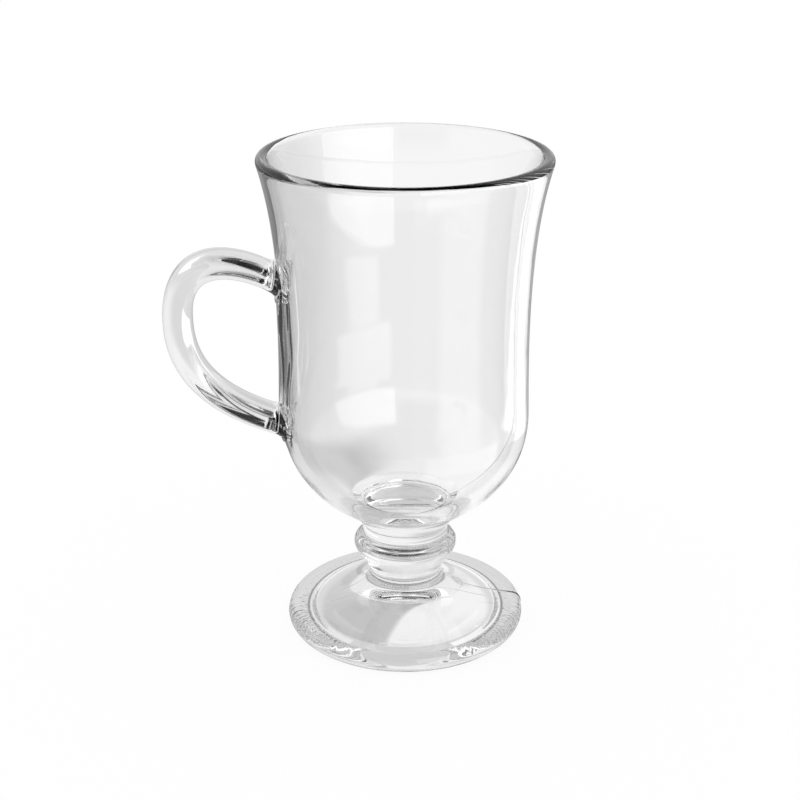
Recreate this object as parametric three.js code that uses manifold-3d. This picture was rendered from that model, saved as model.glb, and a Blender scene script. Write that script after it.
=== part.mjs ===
// Footed glass mug for cappuccino and Irish coffee: a flared bowl, a knopped stem, a round foot and an ear handle.
// Millimetres, +Z up. The mug stands on z = 0, its handle points to -X, and x = y = 0 is the middle of its footprint.

import * as THREE from 'three';
import { mergeVertices } from 'three/addons/utils/BufferGeometryUtils.js';
import Module from 'manifold-3d';

// Foot
const footRadius = 34.6;
const footEdgeHeight = 6;
const footEdgeSlope = 10;
const footConeHeight = 7.2;
const footConeReach = 10;
const footConeRise = 3.4;
const standingRingWidth = 4.6;
const recessDepth = 1.8;
const recessDraft = 1.2;
const recessDome = 5.5;

// Stem, from the foot up
const stemBaseRadius = 11.8;
const lowerNeckRadius = 10.5;
const lowerNeckHeight = 3;
const lowerNeckFullness = 1.2;
const knopRadius = 14.9;
const knopLowerHeight = 9.1;
const knopLowerFullness = 3;
const knopUpperHeight = 5;
const knopUpperFullness = 2.1;
const upperNeckRadius = 12.1;
const collarRadius = 13.2;
const collarRise = 2.2;
const collarHeight = 2.1;

// Bowl, from the stem up
const cupHeight = 30.9;
const cupRadius = 34.9;
const cupToeReach = 1.5;
const cupToeRise = 1;
const cupFullness = 21.6;
const waistFullness = 8.2;
const flareHeight = 74.5;
const flareFullness = 26.1;
const rimRadius = 39.9;
const lipThickness = 3.4;
const lipLean = 16.6;
const wallThickness = 3.1;
const floorThickness = 4.4;
const floorRadius = 16;
const floorReach = 4.4;
const floorRise = 4.6;
const insideFullness = 16;

// Handle
const fingerGap = 23.4;
const gripThickness = 8.2;
const gripRise = 29.5;
const gripUpperPull = 24;
const gripLowerPull = 10;
const armThickness = 6.5;
const handleWidth = 13.5;
const handleSquareness = 2.8;
const upperRootRise = 37.6;
const upperRootAngle = 43;
const upperRootPull = 10;
const lowerRootDrop = 2.1;
const lowerRootAngle = 16;
const lowerRootPull = 28;
const rootThickness = 8.8;
const rootWidth = 16;
const rootLength = 4.5;
const rootBury = 6;
const rootGap = 0.3;

// Fineness of the facets
const turnSteps = 48;
const bowlSteps = 9;
const footSteps = 8;
const stemSteps = 5;
const lipSteps = 5;
const handleSteps = 18;
const handleSides = 20;
const weldDistance = 1e-4;

// Heights that follow from the sizes above
const footTop = footEdgeHeight + footConeHeight;
const lowerNeckTop = footTop + lowerNeckHeight;
const knopLevel = lowerNeckTop + knopLowerHeight;
const upperNeckLevel = knopLevel + knopUpperHeight;
const collarFoot = upperNeckLevel + collarRise;
const bowlBase = collarFoot + collarHeight;
const floorLevel = bowlBase + floorThickness;
const cupLevel = bowlBase + cupHeight;
const mugHeight = cupLevel + flareHeight;

// The lip is a half round, leaning out with the flare
const lipRadius = lipThickness / 2;
const lean = THREE.MathUtils.degToRad(lipLean);
const lipCentre = new THREE.Vector2(rimRadius - lipRadius, mugHeight - lipRadius);
const flareRun = new THREE.Vector2(Math.sin(lean), Math.cos(lean)).multiplyScalar(flareFullness);

const wasm = await Module();
wasm.setup();

function at(radius, height) {
  return new THREE.Vector2(radius, height);
}

// Colourless pressed glass
function clearGlass() {
  return new THREE.MeshStandardMaterial({
    color: 0xeef2f1,
    roughness: 0.05,
    metalness: 0,
    transparent: true,
    opacity: 0.4,
  });
}

// Turns a profile of radius and height about the Z axis
function turned(profile) {
  return new THREE.LatheGeometry(profile, turnSteps).rotateX(Math.PI / 2);
}

// Makes a closed geometry a solid that can be cut, without the flat triangles at its poles
function solidOf(geometry) {
  const bare = geometry.clone();
  bare.deleteAttribute('normal');
  bare.deleteAttribute('uv');
  const welded = mergeVertices(bare, weldDistance);
  const corners = welded.index.array;
  const kept = [];
  for (let i = 0; i < corners.length; i += 3) {
    const [a, b, c] = corners.slice(i, i + 3);
    if (a !== b && b !== c && c !== a) {
      kept.push(a, b, c);
    }
  }
  const vertProperties = new Float32Array(welded.attributes.position.array);
  const triVerts = new Uint32Array(kept);
  return new wasm.Manifold(new wasm.Mesh({ numProp: 3, vertProperties, triVerts }));
}

function geometryOf(solid) {
  const { vertProperties, triVerts } = solid.getMesh();
  const geometry = new THREE.BufferGeometry();
  geometry.setAttribute('position', new THREE.BufferAttribute(vertProperties, 3));
  geometry.setIndex(new THREE.BufferAttribute(triVerts, 1));
  geometry.computeVertexNormals();
  return geometry;
}

// Foot: a ring to stand on round a domed recess, a rolled edge, and a hollow cone up to the stem
function footGeometry() {
  const edgeRadius = footEdgeHeight / 2;
  const edgeMiddle = footRadius - edgeRadius;
  const recessRadius = edgeMiddle - standingRingWidth;
  const slope = THREE.MathUtils.degToRad(footEdgeSlope);
  const edge = new THREE.EllipseCurve(
    edgeMiddle, edgeRadius, edgeRadius, edgeRadius, -Math.PI / 2, Math.PI / 2 - slope,
  );
  const edgeTop = edge.getPoint(1);
  const cone = new THREE.CubicBezierCurve(
    edgeTop,
    at(edgeTop.x - footConeReach * Math.cos(slope), edgeTop.y + footConeReach * Math.sin(slope)),
    at(stemBaseRadius + footConeRise, footTop - footConeRise),
    at(stemBaseRadius, footTop),
  );
  const domeRadius = recessRadius - recessDraft;
  const dome = Array.from({ length: footSteps + 1 }, (_, i) => {
    const out = i / footSteps;
    return at(out * domeRadius, recessDepth + recessDome * (1 - out ** 2) ** 2);
  });
  return turned([
    ...dome,
    at(recessRadius, 0),
    ...edge.getPoints(footSteps),
    ...cone.getPoints(footSteps).slice(1),
    at(0, footTop),
  ]);
}

// Stem: a waisted neck, a double-cone knop and a collar under the bowl
function stemGeometry() {
  const profile = new THREE.Path();
  profile.moveTo(0, footTop);
  profile.lineTo(stemBaseRadius, footTop);
  profile.quadraticCurveTo(lowerNeckRadius, footTop + lowerNeckFullness, lowerNeckRadius, lowerNeckTop);
  profile.bezierCurveTo(
    lowerNeckRadius, lowerNeckTop + knopLowerFullness,
    knopRadius, knopLevel - knopLowerFullness,
    knopRadius, knopLevel,
  );
  profile.bezierCurveTo(
    knopRadius, knopLevel + knopUpperFullness,
    upperNeckRadius, upperNeckLevel - knopUpperFullness,
    upperNeckRadius, upperNeckLevel,
  );
  profile.quadraticCurveTo(upperNeckRadius, collarFoot, collarRadius, collarFoot);
  profile.lineTo(collarRadius, bowlBase);
  profile.lineTo(0, bowlBase);
  return turned(profile.getPoints(stemSteps));
}

// Outside of the bowl from the collar to the lip, moved out by a gap
function outerWall(gap) {
  const lip = at(lipCentre.x + lipRadius * Math.cos(lean) + gap, lipCentre.y - lipRadius * Math.sin(lean));
  const cup = new THREE.CubicBezierCurve(
    at(collarRadius + gap, bowlBase),
    at(collarRadius + gap + cupToeReach, bowlBase + cupToeRise),
    at(cupRadius + gap, cupLevel - cupFullness),
    at(cupRadius + gap, cupLevel),
  );
  const flare = new THREE.CubicBezierCurve(
    at(cupRadius + gap, cupLevel),
    at(cupRadius + gap, cupLevel + waistFullness),
    lip.clone().sub(flareRun),
    lip,
  );
  return [...cup.getPoints(bowlSteps), ...flare.getPoints(bowlSteps).slice(1)];
}

// Inside of the bowl from the lip to the floor
function innerWall() {
  const insideRadius = cupRadius - wallThickness;
  const lip = at(lipCentre.x - lipRadius * Math.cos(lean), lipCentre.y + lipRadius * Math.sin(lean));
  const flare = new THREE.CubicBezierCurve(
    lip,
    lip.clone().sub(flareRun),
    at(insideRadius, cupLevel + waistFullness),
    at(insideRadius, cupLevel),
  );
  const cup = new THREE.CubicBezierCurve(
    at(insideRadius, cupLevel),
    at(insideRadius, cupLevel - insideFullness),
    at(floorRadius + floorReach, floorLevel + floorRise),
    at(floorRadius, floorLevel),
  );
  return [...flare.getPoints(bowlSteps), ...cup.getPoints(bowlSteps).slice(1), at(0, floorLevel)];
}

// Bowl: a round-bottomed cup with a gentle waist, a flared mouth and a fire-polished lip
function bowlGeometry() {
  const lip = new THREE.EllipseCurve(lipCentre.x, lipCentre.y, lipRadius, lipRadius, -lean, Math.PI - lean);
  return turned([at(0, bowlBase), ...outerWall(0), ...lip.getPoints(lipSteps).slice(1, -1), ...innerWall()]);
}

// Middle line of the handle, from its upper root over the grip to its lower root
function handleLine() {
  const start = cupRadius - wallThickness;
  const reach = cupRadius + fingerGap + gripThickness / 2;
  const upperLevel = cupLevel + upperRootRise;
  const gripLevel = cupLevel + gripRise;
  const lowerLevel = cupLevel - lowerRootDrop;
  const upperAngle = THREE.MathUtils.degToRad(upperRootAngle);
  const lowerAngle = THREE.MathUtils.degToRad(lowerRootAngle);
  const point = (out, level) => new THREE.Vector3(-out, 0, level);
  const upper = new THREE.CubicBezierCurve3(
    point(start, upperLevel),
    point(start + upperRootPull * Math.cos(upperAngle), upperLevel + upperRootPull * Math.sin(upperAngle)),
    point(reach, gripLevel + gripUpperPull),
    point(reach, gripLevel),
  );
  const lower = new THREE.CubicBezierCurve3(
    point(reach, gripLevel),
    point(reach, gripLevel - gripLowerPull),
    point(start + lowerRootPull * Math.cos(lowerAngle), lowerLevel + lowerRootPull * Math.sin(lowerAngle)),
    point(start, lowerLevel),
  );
  return [upper, lower];
}

// Stations along the middle line: where it is, where it heads, and how far it is from root (0) to grip (1)
function handleStations() {
  const [upper, lower] = handleLine();
  const stations = [];
  for (let i = 0; i <= handleSteps; i += 1) {
    const t = i / handleSteps;
    stations.push({ middle: upper.getPoint(t), along: upper.getTangent(t), grip: t });
  }
  for (let i = 1; i <= handleSteps; i += 1) {
    const t = i / handleSteps;
    stations.push({ middle: lower.getPoint(t), along: lower.getTangent(t), grip: 1 - t });
  }
  // Both ends run on into the wall, so that the cut below leaves none of the end caps
  const first = stations[0];
  const last = stations.at(-1);
  stations.unshift({ ...first, middle: first.middle.clone().addScaledVector(first.along, -rootBury) });
  stations.push({ ...last, middle: last.middle.clone().addScaledVector(last.along, rootBury) });
  return stations;
}

// Rounded-square section of the handle at one station, as a ring of points
function handleSection({ middle, along, grip }) {
  const fromWall = Math.max(0, -middle.x - cupRadius);
  const spread = Math.exp(-((fromWall / rootLength) ** 2));
  const swell = Math.sin((grip * Math.PI) / 2) ** 2;
  const bandThickness = THREE.MathUtils.lerp(armThickness, gripThickness, swell);
  const halfThickness = THREE.MathUtils.lerp(bandThickness, rootThickness, spread) / 2;
  const halfWidth = THREE.MathUtils.lerp(handleWidth, rootWidth, spread) / 2;
  const squared = (value) => Math.sign(value) * Math.abs(value) ** (2 / handleSquareness);
  const ring = [];
  for (let j = 0; j < handleSides; j += 1) {
    const angle = (2 * Math.PI * j) / handleSides;
    const outward = halfThickness * squared(Math.cos(angle));
    const sideways = halfWidth * squared(Math.sin(angle));
    ring.push(middle.x - along.z * outward, sideways, middle.z + along.x * outward);
  }
  return ring;
}

// Closed loft through all the sections
function handleLoft() {
  const stations = handleStations();
  const firstMiddle = stations[0].middle;
  const lastMiddle = stations.at(-1).middle;
  const positions = [
    ...stations.flatMap(handleSection),
    ...firstMiddle.toArray(),
    ...lastMiddle.toArray(),
  ];
  const firstCap = stations.length * handleSides;
  const lastCap = firstCap + 1;
  const lastRing = firstCap - handleSides;
  const triangles = [];
  for (let j = 0; j < handleSides; j += 1) {
    const next = (j + 1) % handleSides;
    for (let ring = 0; ring < lastRing; ring += handleSides) {
      const above = ring + handleSides;
      triangles.push(ring + j, above + next, ring + next);
      triangles.push(ring + j, above + j, above + next);
    }
    triangles.push(firstCap, j, next);
    triangles.push(lastCap, lastRing + next, lastRing + j);
  }
  const geometry = new THREE.BufferGeometry();
  geometry.setAttribute('position', new THREE.Float32BufferAttribute(positions, 3));
  geometry.setIndex(triangles);
  return geometry;
}

// Handle: the loft with its roots cut to the bowl's own curve, a little clear of it
function handleGeometry() {
  const wall = outerWall(rootGap);
  const core = turned([at(0, bowlBase), ...wall, at(0, wall.at(-1).y)]);
  return geometryOf(solidOf(handleLoft()).subtract(solidOf(core)));
}

function piece(name, geometry) {
  const mesh = new THREE.Mesh(geometry, clearGlass());
  mesh.name = name;
  return mesh;
}

const mug = new THREE.Group();
mug.name = 'footed_glass_mug';
mug.add(piece('bowl', bowlGeometry()));
mug.add(piece('stem', stemGeometry()));
mug.add(piece('foot', footGeometry()));
mug.add(piece('handle', handleGeometry()));

// The footprint runs from the back of the handle to the widest of the turned pieces
const handleReach = cupRadius + fingerGap + gripThickness;
const turnedReach = Math.max(rimRadius, cupRadius, footRadius);
mug.position.x = (handleReach - turnedReach) / 2;

export default mug;
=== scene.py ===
# %% [markdown]
# # A footed mug of clear pressed glass
# The mug has a flared bowl, a short stem with a knop, a round foot and an ear-shaped
# handle. All of it is colourless glass, so what the eye reads is not colour but shape:
# every edge bends the light of the room. The meshes below are therefore dense and
# smooth, and the pieces are closed but fused, as the hot glass was.

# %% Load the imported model
import math

import bmesh
import bpy
import numpy as np
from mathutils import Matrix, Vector


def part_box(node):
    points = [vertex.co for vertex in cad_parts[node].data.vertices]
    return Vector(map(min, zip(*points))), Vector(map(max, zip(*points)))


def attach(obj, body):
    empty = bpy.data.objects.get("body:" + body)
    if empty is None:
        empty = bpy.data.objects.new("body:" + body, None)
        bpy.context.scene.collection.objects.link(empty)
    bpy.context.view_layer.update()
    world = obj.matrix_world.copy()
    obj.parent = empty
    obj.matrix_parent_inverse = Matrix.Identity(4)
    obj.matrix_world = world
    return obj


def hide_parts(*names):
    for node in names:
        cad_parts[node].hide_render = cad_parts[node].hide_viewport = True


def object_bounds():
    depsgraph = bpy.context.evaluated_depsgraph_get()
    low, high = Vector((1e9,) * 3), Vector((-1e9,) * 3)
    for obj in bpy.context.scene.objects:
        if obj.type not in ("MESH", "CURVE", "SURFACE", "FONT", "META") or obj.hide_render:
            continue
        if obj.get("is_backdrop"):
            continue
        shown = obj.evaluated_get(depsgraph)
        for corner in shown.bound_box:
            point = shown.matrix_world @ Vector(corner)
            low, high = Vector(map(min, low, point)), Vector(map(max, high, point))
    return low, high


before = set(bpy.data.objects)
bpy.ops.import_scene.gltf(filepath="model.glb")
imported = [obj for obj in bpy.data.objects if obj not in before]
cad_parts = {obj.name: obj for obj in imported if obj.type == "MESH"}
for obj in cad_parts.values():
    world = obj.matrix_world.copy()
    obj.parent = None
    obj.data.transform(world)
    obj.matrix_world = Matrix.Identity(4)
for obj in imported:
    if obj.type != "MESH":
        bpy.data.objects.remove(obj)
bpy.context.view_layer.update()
scene = bpy.context.scene
MM = 0.001

# The stem is round, so the middle of its box is the axis that the mug was turned about
stem_low, stem_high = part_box("stem")
AXIS_X = (stem_low.x + stem_high.x) / 2

# %% [markdown]
# ## Camera
# The photograph looks down at the mug from a little above its rim, with a lens of about
# 70 mm. The handle points to the left and is turned a few degrees towards the viewer, so
# the camera stands that many degrees towards the handle.

# %% Camera
CAMERA_DISTANCE = 404.9 * MM
CAMERA_HEIGHT = 232.0 * MM
CAMERA_PITCH = math.radians(21.92)
CAMERA_TURN = math.radians(5.0)
CAMERA_LENS = 69.44
CAMERA_SHIFT = -0.0065

camera = bpy.data.objects.new("camera", bpy.data.cameras.new("camera"))
scene.collection.objects.link(camera)
camera.location = (
    AXIS_X - CAMERA_DISTANCE * math.sin(CAMERA_TURN),
    -CAMERA_DISTANCE * math.cos(CAMERA_TURN),
    CAMERA_HEIGHT,
)
camera.rotation_euler = (math.pi / 2 - CAMERA_PITCH, 0, -CAMERA_TURN)
camera.data.sensor_fit = "HORIZONTAL"
camera.data.sensor_width = 36
camera.data.lens = CAMERA_LENS
camera.data.shift_x = CAMERA_SHIFT
scene.camera = camera
print("camera at", [round(c / MM, 1) for c in camera.location], "mm")


# %% [markdown]
# ## Node helper and colours
# Materials are built from nodes. One small function adds a node, sets it up and links
# its inputs, and another turns an sRGB hex colour to the linear light that Blender uses.


# %% Helpers for materials
def linear(hex_colour):
    channels = [int(hex_colour[i : i + 2], 16) / 255 for i in (1, 3, 5)]
    curve = [c / 12.92 if c <= 0.04045 else ((c + 0.055) / 1.055) ** 2.4 for c in channels]
    return (*curve, 1)


def add_node(tree, kind, settings=None, values=None, links=None):
    node = tree.nodes.new(kind)
    for name, value in (settings or {}).items():
        setattr(node, name, value)
    for socket, value in (values or {}).items():
        node.inputs[socket].default_value = value
    for socket, source in (links or {}).items():
        tree.links.new(source, node.inputs[socket])
    return node


def new_material(name):
    material = bpy.data.materials.new(name)
    material.use_nodes = True
    material.node_tree.nodes.clear()
    return material, material.node_tree


# %% [markdown]
# ## The glass
# Soda-lime glass, pressed hot into an iron mould and then fire-polished. Its index of
# refraction is about 1.52, it has next to no colour, and its skin is not quite flat: the
# mould leaves broad, shallow ripples about a centimetre across, which make the things
# seen through the wall waver. The ripples are a bump on Object coordinates. Shadow rays
# pass, as lamp light does through clear glass.

# %% Pressed soda-lime glass
GLASS_IOR = 1.52
GLASS_ROUGHNESS = 0.0
GLASS_TINT = "#FEFEFE"
RIPPLE_SIZE = 11 * MM
RIPPLE_DEPTH = 0.05 * MM
GLASS_KEEPS = 0.998


def pressed_glass(name):
    material, tree = new_material(name)
    place = add_node(tree, "ShaderNodeTexCoord")
    ripple = add_node(
        tree,
        "ShaderNodeTexNoise",
        values={"Scale": 1 / RIPPLE_SIZE, "Detail": 1.0, "Roughness": 0.4},
        links={"Vector": place.outputs["Object"]},
    )
    bump = add_node(
        tree,
        "ShaderNodeBump",
        values={"Strength": 1.0, "Distance": RIPPLE_DEPTH},
        links={"Height": ripple.outputs["Fac"]},
    )
    glass = add_node(
        tree,
        "ShaderNodeBsdfPrincipled",
        values={
            "Base Color": linear(GLASS_TINT),
            "Roughness": GLASS_ROUGHNESS,
            "IOR": GLASS_IOR,
            "Transmission Weight": 1.0,
        },
        links={"Normal": bump.outputs["Normal"]},
    )
    path = add_node(tree, "ShaderNodeLightPath")
    side = add_node(tree, "ShaderNodeNewGeometry")
    way = add_node(
        tree,
        "ShaderNodeMath",
        settings={"operation": "MULTIPLY"},
        links={0: path.outputs["Ray Length"], 1: side.outputs["Backfacing"]},
    )
    kept = add_node(
        tree,
        "ShaderNodeMath",
        settings={"operation": "POWER"},
        values={0: GLASS_KEEPS ** (1 / MM)},
        links={1: way.outputs[0]},
    )
    nothing = add_node(tree, "ShaderNodeEmission", values={"Strength": 0.0})
    body = add_node(
        tree,
        "ShaderNodeMixShader",
        links={0: kept.outputs[0], 1: nothing.outputs[0], 2: glass.outputs[0]},
    )
    clear = add_node(tree, "ShaderNodeBsdfTransparent")
    mix = add_node(
        tree,
        "ShaderNodeMixShader",
        links={0: path.outputs["Is Shadow Ray"], 1: body.outputs[0], 2: clear.outputs[0]},
    )
    add_node(tree, "ShaderNodeOutputMaterial", links={"Surface": mix.outputs[0]})
    return material


# The pieces are closed meshes that meet inside the glass. There is no surface there to
# see, so the faces of the joints let all light straight through.
def fused_joint():
    material, tree = new_material("fused_glass_joint")
    clear = add_node(tree, "ShaderNodeBsdfTransparent")
    add_node(tree, "ShaderNodeOutputMaterial", links={"Surface": clear.outputs[0]})
    return material


PARTS = ("bowl", "stem", "foot", "handle")
GLASS = {part: pressed_glass(f"pressed_soda_lime_glass_{part}") for part in PARTS}
JOINT = fused_joint()
print("materials", [m.name for m in GLASS.values()], JOINT.name)


# %% [markdown]
# ## Turning a profile
# Bowl, stem and foot were pressed round. By hand this is a profile drawn once and spun
# about the axis. The spin goes in two halves with a narrow strip between them, because the
# mould has two halves too, and the strips are where its seams will be raised.


# %% Helpers for turned pieces
def bezier(a, b, c, d, steps):
    t = np.linspace(0, 1, steps + 1)[:, None]
    a, b, c, d = (np.array(p, float) for p in (a, b, c, d))
    points = a * (1 - t) ** 3 + 3 * b * t * (1 - t) ** 2 + 3 * c * t**2 * (1 - t) + d * t**3
    return [tuple(p) for p in points]


def quadratic(a, b, c, steps):
    a, b, c = (np.array(p, float) for p in (a, b, c))
    return bezier(a, a + (b - a) * 2 / 3, c + (b - c) * 2 / 3, c, steps)


def arc(middle, radius, start, end, steps):
    angles = np.radians(np.linspace(start, end, steps + 1))
    return [(middle[0] + radius * math.cos(a), middle[1] + radius * math.sin(a)) for a in angles]


SEAM_HALF_ANGLE = math.radians(0.6)
HANDLE_SIDE = math.radians(22)
WIDE_STEPS = 200
HANDLE_SIDE_STEPS = 36


def begin_mesh(name):
    bpy.ops.object.select_all(action="DESELECT")
    bpy.ops.mesh.primitive_plane_add(size=MM, location=(0, 0, 0))
    piece = bpy.context.object
    piece.name = name
    piece.data.name = name
    return piece


def turn(name, profile):
    piece = begin_mesh(name)
    bpy.ops.object.mode_set(mode="EDIT")
    bpy.ops.mesh.select_mode(type="VERT")
    bpy.ops.mesh.select_all(action="SELECT")
    bpy.ops.mesh.merge(type="CENTER")
    here = np.array(profile[0]) * MM
    bpy.ops.transform.translate(value=(here[0], 0, here[1]))
    for radius, height in profile[1:]:
        step = np.array((radius, height)) * MM - here
        bpy.ops.mesh.extrude_vertices_move(TRANSFORM_OT_translate={"value": (step[0], 0, step[1])})
        here = here + step
    bpy.ops.mesh.select_all(action="SELECT")
    seam = (SEAM_HALF_ANGLE, 1)
    wide = (math.pi - HANDLE_SIDE - SEAM_HALF_ANGLE, WIDE_STEPS)
    near_handle = (HANDLE_SIDE - SEAM_HALF_ANGLE, HANDLE_SIDE_STEPS)
    for angle, steps in (seam, wide, near_handle, seam, seam, near_handle, wide, seam):
        bpy.ops.mesh.spin(steps=steps, angle=angle, center=(0, 0, 0), axis=(0, 0, 1))
    bpy.ops.mesh.select_all(action="SELECT")
    bpy.ops.mesh.remove_doubles(threshold=0.002 * MM)
    bpy.ops.mesh.normals_make_consistent(inside=False)
    bpy.ops.transform.translate(value=(AXIS_X, 0, 0))
    bpy.ops.object.mode_set(mode="OBJECT")
    return piece


# A mould seam is a fine ridge in the plane of the handle, on the skin that the mould touched.
# It is a little wider and higher where the piece is wider, and fainter on the handle's side.
SEAM_HEIGHT = 0.14
SEAM_RADIUS = 35.0
HANDLE_SIDE_SEAM = 0.25
JOINT_CLEAR = 0.05
ON_PLANE = 1e-7


def raise_seam(piece, outside, seam_height=SEAM_HEIGHT):
    mesh = bmesh.new()
    mesh.from_mesh(piece.data)
    mesh.normal_update()
    moves = []
    for vertex in mesh.verts:
        reach, level = (vertex.co.x - AXIS_X) / MM, vertex.co.z / MM
        if abs(vertex.co.y) < ON_PLANE and outside(abs(reach), level):
            height = seam_height * abs(reach) / SEAM_RADIUS * (HANDLE_SIDE_SEAM if reach < 0 else 1)
            moves.append((vertex, vertex.normal * height * MM))
    for vertex, move in moves:
        vertex.co += move
    mesh.to_mesh(piece.data)
    mesh.free()
    print(piece.name, "seam of", len(moves), "points")


SMOOTH_ANGLE = math.radians(40)


def finish_piece(piece, node):
    bpy.ops.object.select_all(action="DESELECT")
    piece.select_set(True)
    bpy.context.view_layer.objects.active = piece
    bpy.ops.object.shade_smooth_by_angle(angle=SMOOTH_ANGLE)
    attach(piece, "root")
    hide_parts(node)
    print(piece.name, len(piece.data.polygons), "faces", [round(d / MM, 2) for d in piece.dimensions])


# %% [markdown]
# ## Foot
# A thick disc with a rolled edge. A low hollow cone leads up to the stem, and underneath
# there is a domed recess, so that the mug stands on a ring and does not rock. The ring
# shows through the foot as a double line.

# %% Foot
FOOT_RADIUS = 34.6
FOOT_EDGE_HEIGHT = 6.0
FOOT_EDGE_SLOPE = 10.0
FOOT_TOP = 13.2
FOOT_CONE_REACH = 10.0
FOOT_CONE_RISE = 3.4
STEM_BASE_RADIUS = 11.8
RING_WIDTH = 4.6
RECESS_DEPTH = 1.8
RECESS_DRAFT = 1.2
RECESS_ROUND = 0.4
RECESS_DOME = 5.5
STIPPLE_RINGS = 8
FOOT_SEAM_HEIGHT = 0.22
FOOT_SEAM_START = 2.0
FOOT_STEPS = 28
DOME_STEPS = 24
ROUND_STEPS = 8

edge_radius = FOOT_EDGE_HEIGHT / 2
edge_middle = FOOT_RADIUS - edge_radius
recess_radius = edge_middle - RING_WIDTH
slope = math.radians(FOOT_EDGE_SLOPE)
rolled_edge = arc((edge_middle, edge_radius), edge_radius, -90, 90 - FOOT_EDGE_SLOPE, FOOT_STEPS)
edge_top = rolled_edge[-1]
cone = bezier(
    edge_top,
    (edge_top[0] - FOOT_CONE_REACH * math.cos(slope), edge_top[1] + FOOT_CONE_REACH * math.sin(slope)),
    (STEM_BASE_RADIUS + FOOT_CONE_RISE, FOOT_TOP - FOOT_CONE_RISE),
    (STEM_BASE_RADIUS, FOOT_TOP),
    FOOT_STEPS,
)
draft = np.array((RECESS_DRAFT, -RECESS_DEPTH)) / math.hypot(RECESS_DRAFT, RECESS_DEPTH) * RECESS_ROUND
recess_top = np.array((recess_radius - RECESS_DRAFT, RECESS_DEPTH))
recess_foot = np.array((recess_radius, 0))
dome_radius = recess_top[0] - RECESS_ROUND
dome_radii = np.linspace(0, dome_radius, DOME_STEPS + 1)
dome = [(r, RECESS_DEPTH + RECESS_DOME * (1 - (r / dome_radius) ** 2) ** 2) for r in dome_radii]
ring_radii = np.linspace(recess_radius + RECESS_ROUND, edge_middle, STIPPLE_RINGS + 2)
foot_profile = [
    *dome[:-1],
    *quadratic(recess_top - (RECESS_ROUND, 0), recess_top, recess_top + draft, ROUND_STEPS),
    *quadratic(recess_foot - draft, recess_foot, recess_foot + (RECESS_ROUND, 0), ROUND_STEPS),
    *[(r, 0) for r in ring_radii[1:-1]],
    *rolled_edge,
    *cone[1:],
    (0, FOOT_TOP),
]
foot = turn("foot_disc", foot_profile)
raise_seam(
    foot, lambda radius, level: FOOT_SEAM_START < level < FOOT_TOP - JOINT_CLEAR, FOOT_SEAM_HEIGHT
)

# %% [markdown]
# The rim of the foot looks mottled in the photograph. Pressed ware is often stippled on the
# ring that it stands on. Each point of the ring is pushed up into the glass by a different
# amount, and the mug still stands on the points that stay down.

# %% Stipple under the foot
STIPPLE_DEPTH = 0.17
STIPPLE_MARGIN = 0.1
STIPPLE_SEED = 5

stipple_from = recess_radius + RECESS_ROUND + STIPPLE_MARGIN
stipple_to = edge_middle - STIPPLE_MARGIN
mesh = bmesh.new()
mesh.from_mesh(foot.data)
chance = np.random.default_rng(STIPPLE_SEED)
pushed = 0
for vertex in mesh.verts:
    radius = math.hypot(vertex.co.x - AXIS_X, vertex.co.y) / MM
    if vertex.co.z < ON_PLANE and stipple_from < radius < stipple_to:
        vertex.co.z = chance.uniform(0, STIPPLE_DEPTH) * MM
        pushed += 1
mesh.to_mesh(foot.data)
mesh.free()
print("stipple of", pushed, "points")

# %% [markdown]
# ## Stem
# A waisted neck, a knop like two cones set base to base, and a collar that carries the bowl.

# %% Stem
LOWER_NECK = (10.5, 16.2)
LOWER_NECK_FULLNESS = 1.2
KNOP = (14.9, 25.3)
KNOP_LOWER_FULLNESS = 3.0
KNOP_UPPER_FULLNESS = 2.1
UPPER_NECK = (12.1, 30.3)
COLLAR_RADIUS = 13.2
COLLAR_FOOT = 32.5
BOWL_BASE = 34.6
NECK_STEPS = 10
KNOP_LOWER_STEPS = 20
KNOP_UPPER_STEPS = 16

neck_corner = (LOWER_NECK[0], FOOT_TOP + LOWER_NECK_FULLNESS)
collar_corner = (UPPER_NECK[0], COLLAR_FOOT)
stem_profile = [
    (0, FOOT_TOP),
    *quadratic((STEM_BASE_RADIUS, FOOT_TOP), neck_corner, LOWER_NECK, NECK_STEPS),
    *bezier(
        LOWER_NECK,
        (LOWER_NECK[0], LOWER_NECK[1] + KNOP_LOWER_FULLNESS),
        (KNOP[0], KNOP[1] - KNOP_LOWER_FULLNESS),
        KNOP,
        KNOP_LOWER_STEPS,
    )[1:],
    *bezier(
        KNOP,
        (KNOP[0], KNOP[1] + KNOP_UPPER_FULLNESS),
        (UPPER_NECK[0], UPPER_NECK[1] - KNOP_UPPER_FULLNESS),
        UPPER_NECK,
        KNOP_UPPER_STEPS,
    )[1:],
    *quadratic(UPPER_NECK, collar_corner, (COLLAR_RADIUS, COLLAR_FOOT), NECK_STEPS)[1:],
    (COLLAR_RADIUS, BOWL_BASE),
    (0, BOWL_BASE),
]
stem = turn("stem_knop", stem_profile)
raise_seam(stem, lambda radius, level: FOOT_TOP + JOINT_CLEAR < level < BOWL_BASE - JOINT_CLEAR)

# %% [markdown]
# ## Bowl
# A round-bottomed cup with a slight waist and a flared mouth. The lip is a half round that
# leans out with the flare, as it was left by the fire polish. The floor is thick.

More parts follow.
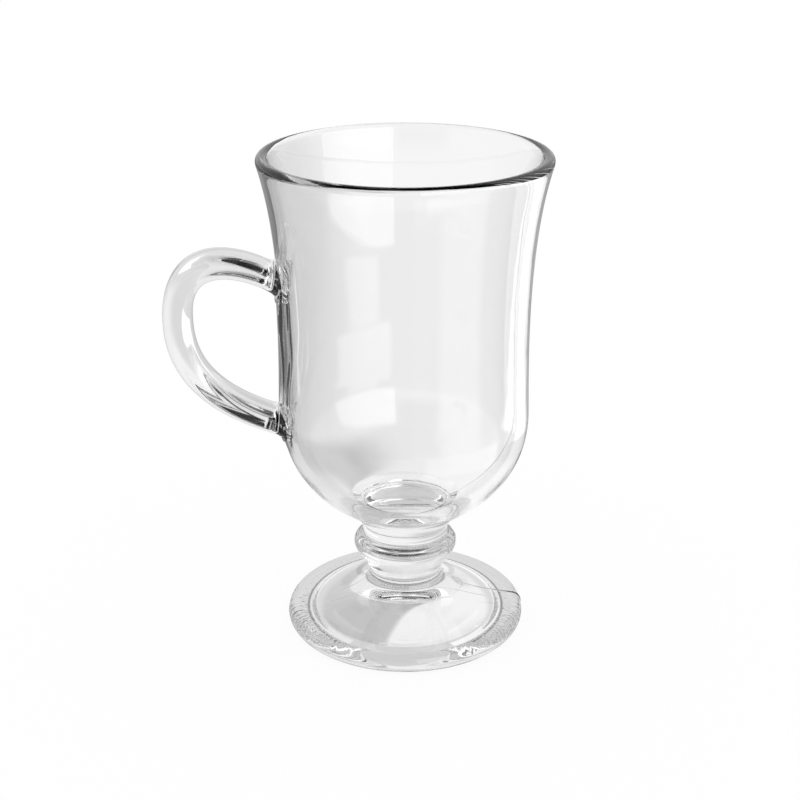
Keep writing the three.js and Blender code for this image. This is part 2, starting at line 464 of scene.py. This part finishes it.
# %% Bowl
CUP = (34.9, 65.5)
CUP_TOE = (1.5, 1.0)
CUP_FULLNESS = 21.6
WAIST_FULLNESS = 8.2
FLARE_FULLNESS = 26.1
RIM_RADIUS = 39.9
MUG_HEIGHT = 140.0
LIP_RADIUS = 1.7
LIP_LEAN = 16.6
WALL = 3.1
FLOOR_LEVEL = BOWL_BASE + 4.4
FLOOR_RADIUS = 16.0
FLOOR_REACH = 4.4
FLOOR_RISE = 4.6
INSIDE_FULLNESS = 16.0
CUP_STEPS = 36
FLARE_STEPS = 40
LIP_STEPS = 20
INSIDE_STEPS = 30
BASE_CLEAR = 0.2

lean = math.radians(LIP_LEAN)
lip_middle = (RIM_RADIUS - LIP_RADIUS, MUG_HEIGHT - LIP_RADIUS)
lip = arc(lip_middle, LIP_RADIUS, -LIP_LEAN, 180 - LIP_LEAN, LIP_STEPS)
run = (FLARE_FULLNESS * math.sin(lean), FLARE_FULLNESS * math.cos(lean))
inside_radius = CUP[0] - WALL
outer_wall = [
    *bezier(
        (COLLAR_RADIUS, BOWL_BASE),
        (COLLAR_RADIUS + CUP_TOE[0], BOWL_BASE + CUP_TOE[1]),
        (CUP[0], CUP[1] - CUP_FULLNESS),
        CUP,
        CUP_STEPS,
    ),
    *bezier(
        CUP,
        (CUP[0], CUP[1] + WAIST_FULLNESS),
        (lip[0][0] - run[0], lip[0][1] - run[1]),
        lip[0],
        FLARE_STEPS,
    )[1:],
]
inner_wall = [
    *bezier(
        lip[-1],
        (lip[-1][0] - run[0], lip[-1][1] - run[1]),
        (inside_radius, CUP[1] + WAIST_FULLNESS),
        (inside_radius, CUP[1]),
        FLARE_STEPS,
    ),
    *bezier(
        (inside_radius, CUP[1]),
        (inside_radius, CUP[1] - INSIDE_FULLNESS),
        (FLOOR_RADIUS + FLOOR_REACH, FLOOR_LEVEL + FLOOR_RISE),
        (FLOOR_RADIUS, FLOOR_LEVEL),
        INSIDE_STEPS,
    )[1:],
]
bowl_profile = [(0, BOWL_BASE), *outer_wall, *lip[1:-1], *inner_wall, (0, FLOOR_LEVEL)]
bowl = turn("bowl_cup", bowl_profile)
wall_levels = [z for _, z in outer_wall]
wall_radii = [r for r, _ in outer_wall]


def on_outer_wall(radius, level):
    beside_wall = BOWL_BASE + BASE_CLEAR < level < lip[0][1]
    return beside_wall and radius > np.interp(level, wall_levels, wall_radii) - WALL / 2


raise_seam(bowl, on_outer_wall)

# %% [markdown]
# Between the two roots of the handle the wall is a little thicker: a low web, as wide as the
# handle, stands on it. In the photograph the outline on that side lies almost a millimetre
# further out than on the other, and the web's shoulders make wavering streaks in the glass.

# %% Web between the roots
WEB_HEIGHT = 0.8
WEB_FLAT = 3.0
WEB_EDGE = 9.0
WEB_WAVER = 1.0
WEB_LONG_WAVE, WEB_SHORT_WAVE, WEB_SLANT = 6.5, 2.9, 3
WEB_LEVELS = (57.0, 63.0, 103.0, 109.0)

mesh = bmesh.new()
mesh.from_mesh(bowl.data)
moved = 0
for vertex in mesh.verts:
    x, y, level = (vertex.co.x - AXIS_X) / MM, vertex.co.y / MM, vertex.co.z / MM
    if x < 0 and on_outer_wall(math.hypot(x, y), level):
        short_wave = math.sin(level / WEB_SHORT_WAVE + y / WEB_SLANT)
        waver = WEB_WAVER * (math.sin(level / WEB_LONG_WAVE) + 0.5 * short_wave)
        side = np.interp(abs(y), (WEB_FLAT + waver, WEB_EDGE + waver), (1, 0))
        run_out = np.interp(level, WEB_LEVELS, (0, 1, 1, 0))
        swell = side * side * (3 - 2 * side) * run_out * run_out * (3 - 2 * run_out)
        vertex.co += Vector((x, y, 0)).normalized() * WEB_HEIGHT * swell * MM
        moved += swell > 0
mesh.to_mesh(bowl.data)
mesh.free()
print("web of", moved, "points")

# %% [markdown]
# ## Handle
# An ear-shaped loop with a rounded-square section, thicker at the grip than on its arms. A
# ring of points is laid across the upper root and extruded along the middle line, station
# by station. Near the wall each point is pushed outwards, so the roots spread into it in a
# hollow fillet, as hot glass does.

# %% Middle line of the handle
REACH = 62.4
GRIP_LEVEL = 95.0
GRIP_UPPER_PULL = 24.0
GRIP_LOWER_PULL = 10.0
UPPER_ROOT = 103.1
UPPER_ANGLE = math.radians(43.0)
UPPER_PULL = 10.0
LOWER_ROOT = 63.4
LOWER_ANGLE = math.radians(16.0)
LOWER_PULL = 28.0
DENSE_STEPS = 600
FINE_STEP = 0.35
COARSE_STEP = 1.0
FINE_ZONE = 10.0

upper_arm = bezier(
    (inside_radius, UPPER_ROOT),
    (inside_radius + UPPER_PULL * math.cos(UPPER_ANGLE), UPPER_ROOT + UPPER_PULL * math.sin(UPPER_ANGLE)),
    (REACH, GRIP_LEVEL + GRIP_UPPER_PULL),
    (REACH, GRIP_LEVEL),
    DENSE_STEPS,
)
lower_arm = bezier(
    (REACH, GRIP_LEVEL),
    (REACH, GRIP_LEVEL - GRIP_LOWER_PULL),
    (inside_radius + LOWER_PULL * math.cos(LOWER_ANGLE), LOWER_ROOT + LOWER_PULL * math.sin(LOWER_ANGLE)),
    (inside_radius, LOWER_ROOT),
    DENSE_STEPS,
)
dense_line = np.array(upper_arm + lower_arm[1:])
dense_heading = np.gradient(dense_line, axis=0)
dense_heading /= np.linalg.norm(dense_heading, axis=1)[:, None]
dense_grip = np.sin(np.linspace(0, math.pi, len(dense_line))) ** 2
run_length = np.concatenate([[0], np.cumsum(np.linalg.norm(np.diff(dense_line, axis=0), axis=1))])
near_root = np.arange(0, FINE_ZONE, FINE_STEP)
arm_steps = round((run_length[-1] - 2 * FINE_ZONE) / COARSE_STEP)
arms = np.linspace(FINE_ZONE, run_length[-1] - FINE_ZONE, arm_steps)
stations = np.concatenate([near_root, arms, (run_length[-1] - near_root)[::-1]])
print("handle is", round(run_length[-1], 1), "mm along its middle,", len(stations), "stations")

# %% [markdown]
# The section is a square with sides drawn out round, wider across than it is thick. The
# exponent says how square it is: 2 would be an ellipse.

# %% Section of the handle at one station
GRIP_THICKNESS = 8.2
ARM_THICKNESS = 6.5
HANDLE_WIDTH = 13.5
SQUARENESS = 2.8
HANDLE_SIDES = 48
FILLET = 2.8
FILLET_EDGE = 0.14


def handle_ring(station):
    out, level = (np.interp(station, run_length, dense_line[:, k]) for k in (0, 1))
    ahead, up = (np.interp(station, run_length, dense_heading[:, k]) for k in (0, 1))
    grip = np.interp(station, run_length, dense_grip)
    half_thickness = (ARM_THICKNESS + (GRIP_THICKNESS - ARM_THICKNESS) * grip) / 2
    ring = []
    for angle in np.linspace(0, 2 * math.pi, HANDLE_SIDES, endpoint=False):
        square = [math.copysign(abs(v) ** (2 / SQUARENESS), v) for v in (math.cos(angle), math.sin(angle))]
        across, side = square[0] * half_thickness, square[1] * HANDLE_WIDTH / 2
        # How far the point still is from the bowl's wall, and how much the fillet spreads there
        wall_here = np.interp(level + ahead * across, wall_levels, wall_radii)
        clear = math.hypot(out - up * across, side) - wall_here
        depth = min(max(clear, 0) + FILLET_EDGE, FILLET)
        spread = 1 + (FILLET - math.sqrt(FILLET**2 - (FILLET - depth) ** 2)) / math.hypot(across, side)
        across, side = across * spread, side * spread
        ring.append((AXIS_X - (out - up * across) * MM, side * MM, (level + ahead * across) * MM))
    return ring


# %% [markdown]
# Each extrusion leaves a new ring, whose points are then set to their places on the next
# station. Faces close the two ends, which the bowl's wall will hide.


# %% Loft
def extrude_ring(piece, ring, points):
    bpy.ops.mesh.extrude_region_move()
    mesh = bmesh.from_edit_mesh(piece.data)
    mesh.verts.index_update()
    mesh.verts.ensure_lookup_table()
    fresh = {v.index for v in mesh.verts if v.select}
    ends = [[e.other_vert(mesh.verts[i]).index for e in mesh.verts[i].link_edges] for i in ring]
    new_ring = [next(i for i in end if i in fresh) for end in ends]
    for i, point in zip(new_ring, points):
        mesh.verts[i].co = point
    bmesh.update_edit_mesh(piece.data)
    return new_ring


bpy.ops.object.select_all(action="DESELECT")
bpy.ops.mesh.primitive_circle_add(vertices=HANDLE_SIDES, radius=HANDLE_WIDTH / 2 * MM, location=(0, 0, 0))
handle_loft = bpy.context.object
bpy.ops.object.mode_set(mode="EDIT")
bpy.ops.mesh.select_mode(type="EDGE")
bpy.ops.mesh.select_all(action="SELECT")
first = bmesh.from_edit_mesh(handle_loft.data)
for vertex, point in zip(first.verts, handle_ring(stations[0])):
    vertex.co = point
bmesh.update_edit_mesh(handle_loft.data)
ring = list(range(HANDLE_SIDES))
for station in stations[1:]:
    ring = extrude_ring(handle_loft, ring, handle_ring(station))
bpy.ops.mesh.edge_face_add()
bpy.ops.mesh.select_all(action="DESELECT")
bpy.ops.mesh.select_non_manifold(
    use_wire=False, use_multi_face=False, use_non_contiguous=False, use_verts=False
)
bpy.ops.mesh.edge_face_add()
bpy.ops.mesh.select_all(action="SELECT")
bpy.ops.mesh.normals_make_consistent(inside=False)
bpy.ops.object.mode_set(mode="OBJECT")
print("loft", len(handle_loft.data.polygons), "faces", [round(d / MM, 2) for d in handle_loft.dimensions])


# %% [markdown]
# ## Fusing the handle to the bowl
# The loft is first trimmed a millimetre inside the bowl's wall, by a core turned from the
# wall's own curve. A boolean union then finds the line where the two skins meet. The faces
# that came from the loft are split off again as the handle, and the holes that are left in
# both pieces are closed with joint faces. So each piece is closed, and the glass runs on.

# %% Union and split
ROOT_BURY = 1.0
BOWL_SKIN, JOINT_FACE, HANDLE_SKIN = 0, 1, 2


def combine(piece, operation, other):
    bpy.ops.object.select_all(action="DESELECT")
    piece.select_set(True)
    bpy.context.view_layer.objects.active = piece
    change = piece.modifiers.new("combine", "BOOLEAN")
    change.operation = operation
    change.object = other
    change.solver = "EXACT"
    bpy.ops.object.modifier_apply(modifier=change.name)
    bpy.data.objects.remove(other)


core_profile = [(0, wall_levels[0]), *((r - ROOT_BURY, z) for r, z in outer_wall), (0, wall_levels[-1])]
combine(handle_loft, "DIFFERENCE", turn("core", core_profile))
for piece in (bowl, handle_loft):
    piece.data.materials.clear()
    for material in (GLASS["bowl"], JOINT, GLASS["handle"]):
        piece.data.materials.append(material)
for face in handle_loft.data.polygons:
    face.material_index = HANDLE_SKIN
combine(bowl, "UNION", handle_loft)
bpy.ops.object.mode_set(mode="EDIT")
bpy.ops.mesh.select_mode(type="FACE")
bpy.ops.mesh.select_all(action="DESELECT")
bowl.active_material_index = HANDLE_SKIN
bpy.ops.object.material_slot_select()
bpy.ops.mesh.separate(type="SELECTED")
bpy.ops.object.mode_set(mode="OBJECT")
handle = next(o for o in bpy.context.selected_objects if o is not bowl and o.name != bowl.name)
handle.name = handle.data.name = "handle_loop"
print("bowl", len(bowl.data.polygons), "faces, handle", len(handle.data.polygons), "faces")


# %% [markdown]
# The holes at the two roots are closed with a face each, in the bowl and in the handle.


# %% Close the joints
def close_joint(piece, upper):
    bpy.ops.object.select_all(action="DESELECT")
    piece.select_set(True)
    bpy.context.view_layer.objects.active = piece
    bpy.ops.object.mode_set(mode="EDIT")
    bpy.ops.mesh.select_mode(type="EDGE")
    bpy.ops.mesh.select_all(action="DESELECT")
    mesh = bmesh.from_edit_mesh(piece.data)
    rim = [e for e in mesh.edges if e.is_boundary]
    halfway = (UPPER_ROOT + LOWER_ROOT) / 2 * MM
    chosen = [e for e in rim if (e.verts[0].co.z > halfway) == upper]
    for edge in chosen:
        edge.select_set(True)
    bmesh.update_edit_mesh(piece.data)
    bpy.ops.mesh.mark_sharp()
    bpy.ops.mesh.edge_face_add()
    piece.active_material_index = JOINT_FACE
    bpy.ops.object.material_slot_assign()
    bpy.ops.object.mode_set(mode="OBJECT")
    return len(chosen)


for piece in (bowl, handle):
    print(piece.name, "joint edges", [close_joint(piece, upper) for upper in (True, False)])


# %% [markdown]
# ## Joint faces of the turned pieces
# Bowl, stem and foot meet in flat discs at the collar and at the foot of the stem.

# %% Joint discs
def mark_discs(piece, levels):
    for face in piece.data.polygons:
        flat = abs(abs(face.normal.z) - 1) < 1e-4
        if flat and any(abs(face.center.z - level * MM) < 1e-6 for level in levels):
            face.material_index = JOINT_FACE


for piece, part, levels in ((stem, "stem", (FOOT_TOP, BOWL_BASE)), (foot, "foot", (FOOT_TOP,))):
    piece.data.materials.clear()
    piece.data.materials.append(GLASS[part])
    piece.data.materials.append(JOINT)
    mark_discs(piece, levels)
mark_discs(bowl, (BOWL_BASE,))
for piece, node in ((bowl, "bowl"), (stem, "stem"), (foot, "foot"), (handle, "handle")):
    finish_piece(piece, node)

# %% [markdown]
# ## Table, room and window
# Clear glass shows what is round it, so the room matters as much as the glass. The camera
# sees the table and the backdrop as plain white. The rays that leave the glass see a room
# that stands in for the photographer's. It is made of patches, each between two compass
# directions, which are counted from the viewer to the right.


# %% Helpers for the patches of the room
def step_up(tree, source, low, high):
    step = add_node(
        tree,
        "ShaderNodeMapRange",
        settings={"interpolation_type": "SMOOTHSTEP"},
        values={"From Min": low, "From Max": high},
        links={"Value": source},
    )
    return step.outputs["Result"]


def calculate(tree, operation, one, other):
    node = add_node(tree, "ShaderNodeMath", settings={"operation": operation}, links={0: one, 1: other})
    return node.outputs[0]


def band(tree, source, low, high, soft):
    rise = step_up(tree, source, low - soft, low + soft)
    return calculate(tree, "MULTIPLY", rise, step_up(tree, source, high + soft, high - soft))


def wedge(tree, place, middle, azimuths, soft):
    sides = []
    for azimuth, sign in zip(azimuths, (1, -1)):
        angle = math.radians(azimuth)
        across = Vector((math.cos(angle), math.sin(angle), 0)) * sign
        reach = add_node(
            tree,
            "ShaderNodeVectorMath",
            settings={"operation": "DOT_PRODUCT"},
            values={1: across},
            links={0: place},
        )
        offset = across.dot(Vector(middle))
        sides.append(step_up(tree, reach.outputs["Value"], offset - soft, offset + soft))
    return calculate(tree, "MULTIPLY", *sides)


def blend(tree, share, one, other):
    """Mixes two levels of light, each a number or an output of a node."""
    mix = add_node(tree, "ShaderNodeMix", links={0: share})
    for socket, level in ((mix.inputs[2], one), (mix.inputs[3], other)):
        if isinstance(level, (int, float)):
            socket.default_value = level
        else:
            tree.links.new(level, socket)
    return mix.outputs[0]


def light_path(tree):
    """Sorts rays: to the camera, from the glass, mirrored by it, and mirrored within its wall."""
    path = add_node(tree, "ShaderNodeLightPath").outputs
    from_glass = calculate(tree, "MAXIMUM", path["Is Glossy Ray"], path["Is Transmission Ray"])
    # Depths are whole counts. A ray mirrored within one wall has entered and left the glass once
    mirrored = step_up(tree, path["Glossy Depth"], 0.4, 0.6)
    one_wall = band(tree, path["Transmission Depth"], 0.5, 2.5, 0.1)
    within = calculate(tree, "MULTIPLY", mirrored, one_wall)
    return {"camera": path["Is Camera Ray"], "glass": from_glass, "mirrored": mirrored, "within": within}


# %% [markdown]
# The table is pale laminate that runs on past the edge of the picture. Through the glass it
# is painted greyer on the left and brighter on the right, as painted shade and painted light.
# Rays that the glass has mirrored see a painted pool of the window's light across it. Those
# mirrored within the wall see painted dark ground further out, in place of the dark cards a
# photographer lays to draw the edges of glass. Under the foot there is a painted shadow, with
# a painted bright and a painted dark ring where the recess ends.

# %% Table
FLOOR_SIZE = 6.0
FLOOR_SHADE = 0.08
AXIS = (AXIS_X, 0, 0)
# Painted shade on the left and painted light on the right of the table, for rays from the glass
PAINTED_SHADE_LEFT, PAINTED_LIGHT_RIGHT = 0.77, 0.97
GROUND_EDGES = (-0.05, 0.03)
# Directions in degrees, radii from the mug and softness in metres, and how bright the ground is
# Painted light and shade on the table for rays straight through the glass: a darker patch and two patches
# brighter than white
PAINTED_GROUND_BEHIND = [
    ((-178, -110), (0.075, 0.125), 0.015, 0.6),
    ((-158, -150), (0.2, 0.36), 0.006, 1.2),
    ((98, 151), (0.15, 0.7), 0.006, 1.35),
]
# Painted light: a pool of the window's light on the table, brighter than white, over painted grey ground
PAINTED_GROUND_MIRRORED = [
    (None, (0.1, 3.0), 0.02, 0.4),
    ((12, 80), (0.1, 0.19), 0.008, 1.5),
    ((24, 62), (0.19, 0.5), 0.02, 1.4),
    ((12, 80), (0.5, 3.0), 0.02, 0.6),
]
# Painted shade: dark ground for rays mirrored within the wall, with a few brighter painted patches
PAINTED_GROUND_WITHIN = [
    (None, (0.2, 3.0), 0.035, 0.25),
    ((-168, -149), (0.12, 0.45), 0.006, 0.12),
    ((-149, -110), (0.14, 0.45), 0.006, 0.55),
    ((98, 149), (0.15, 0.7), 0.006, 1.35),
    ((149, 170), (0.14, 0.5), 0.006, 0.45),
    ((-35, 2), (0.167, 0.34), 0.006, 0.02),
]
# Painted shadow of the mug under the foot, lighter on one half, with a painted bright ring and a painted
# dark ring where the recess ends
PAINTED_SHADOW_UNDER_FOOT = [
    (None, (-0.01, 0.03), 0.001, 0.55),
    ((-21, 159), (-0.01, 0.03), 0.0015, 0.93),
    (None, (0.0235, 0.04), 0.001, 0.68),
    ((25, 175), (0.0257, 0.0274), 0.0004, 1.0),
    ((-175, -40), (0.0257, 0.0274), 0.0004, 0.85),
    (None, (0.0276, 0.0283), 0.0003, 0.2),
]

bpy.ops.object.select_all(action="DESELECT")
bpy.ops.mesh.primitive_plane_add(size=FLOOR_SIZE, location=(0, 0, 0))
floor = bpy.context.object
floor.name = "table_top"
# Pale laminate: plain white to the camera, painted light and shade to rays from the glass
table, tree = new_material("pale_laminate_with_painted_light")
place = add_node(tree, "ShaderNodeTexCoord").outputs["Object"]
from_mug = add_node(
    tree,
    "ShaderNodeVectorMath",
    settings={"operation": "DISTANCE"},
    values={1: AXIS},
    links={0: place},
).outputs["Value"]


def lay(ground, patches):
    for azimuths, radii, soft, level in patches:
        patch = band(tree, from_mug, *radii, soft)
        if azimuths:
            patch = calculate(tree, "MULTIPLY", patch, wedge(tree, place, AXIS, azimuths, soft))
        ground = blend(tree, patch, ground, level)
    return ground


rays = light_path(tree)
across = add_node(tree, "ShaderNodeSeparateXYZ", links={0: place}).outputs["X"]
# Painted light and shade: through the glass the table is darker on the left and brighter on the right
pale = blend(tree, step_up(tree, across, *GROUND_EDGES), PAINTED_SHADE_LEFT, PAINTED_LIGHT_RIGHT)
ground = blend(tree, rays["mirrored"], lay(pale, PAINTED_GROUND_BEHIND), lay(pale, PAINTED_GROUND_MIRRORED))
ground = blend(tree, rays["within"], ground, lay(pale, PAINTED_GROUND_WITHIN))
ground = lay(ground, PAINTED_SHADOW_UNDER_FOOT)
ground = blend(tree, rays["glass"], 1.0, ground)
# This glow is white for the camera and the painted light and shade for rays from the glass
white = add_node(tree, "ShaderNodeEmission", links={"Strength": ground})
lit = add_node(tree, "ShaderNodeBsdfDiffuse", values={"Color": linear("#FFFFFF")})
seen = calculate(tree, "MAXIMUM", blend(tree, rays["camera"], 0.0, 1 - FLOOR_SHADE), rays["glass"])
mix = add_node(tree, "ShaderNodeMixShader", links={0: seen, 1: lit.outputs[0], 2: white.outputs[0]})
add_node(tree, "ShaderNodeOutputMaterial", links={"Surface": mix.outputs[0]})
floor.data.materials.append(table)
floor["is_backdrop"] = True

# %% [markdown]
# The room has a white backdrop with darkness above it and behind the viewer. Rays mirrored
# within the wall also see a low dark horizon, which draws the edges from every side.

# %% Room
BACKDROP, CEILING = 0.88, 0.03
BACKDROP_TOP = (0.55, 0.78)
HORIZON, HORIZON_EDGE = 0.4, (0.3, 0.2)
# Directions and heights in degrees, softness of the edges, and how bright that part of the room is
ROOM = [
    ((-150, -50), (10, 55), 0.08, 0.76),
    ((112, 152), (10, 58), 0.06, 0.92),
    ((-45, 5), (12, 60), 0.15, 0.02),
    ((181, 205), (35, 80), 0.03, 0.6),
    ((160, 190), (33, 42), 0.02, 1.4),
]

world = bpy.data.worlds.new("white_studio")
scene.world = world
world.use_nodes = True
tree = world.node_tree
tree.nodes.clear()
place = add_node(tree, "ShaderNodeTexCoord").outputs["Generated"]
rise = add_node(tree, "ShaderNodeSeparateXYZ", links={0: place}).outputs["Z"]
room = blend(tree, step_up(tree, rise, *BACKDROP_TOP), BACKDROP, CEILING)
for azimuths, heights, soft, level in ROOM:
    low, high = (math.sin(math.radians(h)) for h in heights)
    sides = wedge(tree, place, (0, 0, 0), azimuths, soft)
    patch = calculate(tree, "MULTIPLY", band(tree, rise, low, high, soft), sides)
    room = blend(tree, patch, room, level)
rays = light_path(tree)
horizon = calculate(tree, "MULTIPLY", rays["within"], step_up(tree, rise, *HORIZON_EDGE))
room = blend(tree, horizon, room, HORIZON)
shine = add_node(
    tree,
    "ShaderNodeBackground",
    values={"Color": linear("#FFFFFF")},
    links={"Strength": blend(tree, rays["glass"], 1.0, room)},
)
add_node(tree, "ShaderNodeOutputWorld", links={"Surface": shine.outputs[0]})

# %% [markdown]
# A tall window stands in front to the right. It is a lamp that shows only in what the faces
# of the wall mirror, so it doesn't flood the glass when it stands behind the mug.

# %% Window
WINDOW_ENDS = ((0.075, -0.6), (1.22, -0.326))
WINDOW_HEIGHT = 0.6
WINDOW_LIGHT = 1.5

left, right = (Vector((x, y, WINDOW_HEIGHT / 2)) for x, y in WINDOW_ENDS)
lamp = bpy.data.lights.new("window", "AREA")
lamp.shape = "RECTANGLE"
lamp.size, lamp.size_y = (right - left).length, WINDOW_HEIGHT
lamp.energy = WINDOW_LIGHT * math.pi * lamp.size * lamp.size_y
lamp.use_nodes = True
tree = lamp.node_tree
tree.nodes.clear()
rays = light_path(tree)
shown = calculate(tree, "SUBTRACT", rays["mirrored"], rays["within"])
glow = add_node(tree, "ShaderNodeEmission", links={"Strength": shown})
add_node(tree, "ShaderNodeOutputLight", links={"Surface": glow.outputs[0]})
window = bpy.data.objects.new("window", lamp)
scene.collection.objects.link(window)
window.location = (left + right) / 2
window.rotation_euler = (math.pi / 2, 0, math.atan2(right.y - left.y, right.x - left.x))
window.visible_camera = window.visible_diffuse = False

# %% [markdown]
# ## Light and colour
# Colours go to the screen as they are. Light may cross many faces of glass before it ends.

# %% Light and colour
scene.view_settings.view_transform = "Standard"
scene.cycles.max_bounces = 32
scene.cycles.transmission_bounces = 32
scene.cycles.glossy_bounces = 16
scene.cycles.transparent_max_bounces = 32

# %% [markdown]
# ## Size
# The dressed mug keeps to the box of the imported model. The box of the dressed mug is printed.

# %% Size of the finished mug
low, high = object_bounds()
print("visual box", [round(v / MM, 2) for v in (*low, *high)])
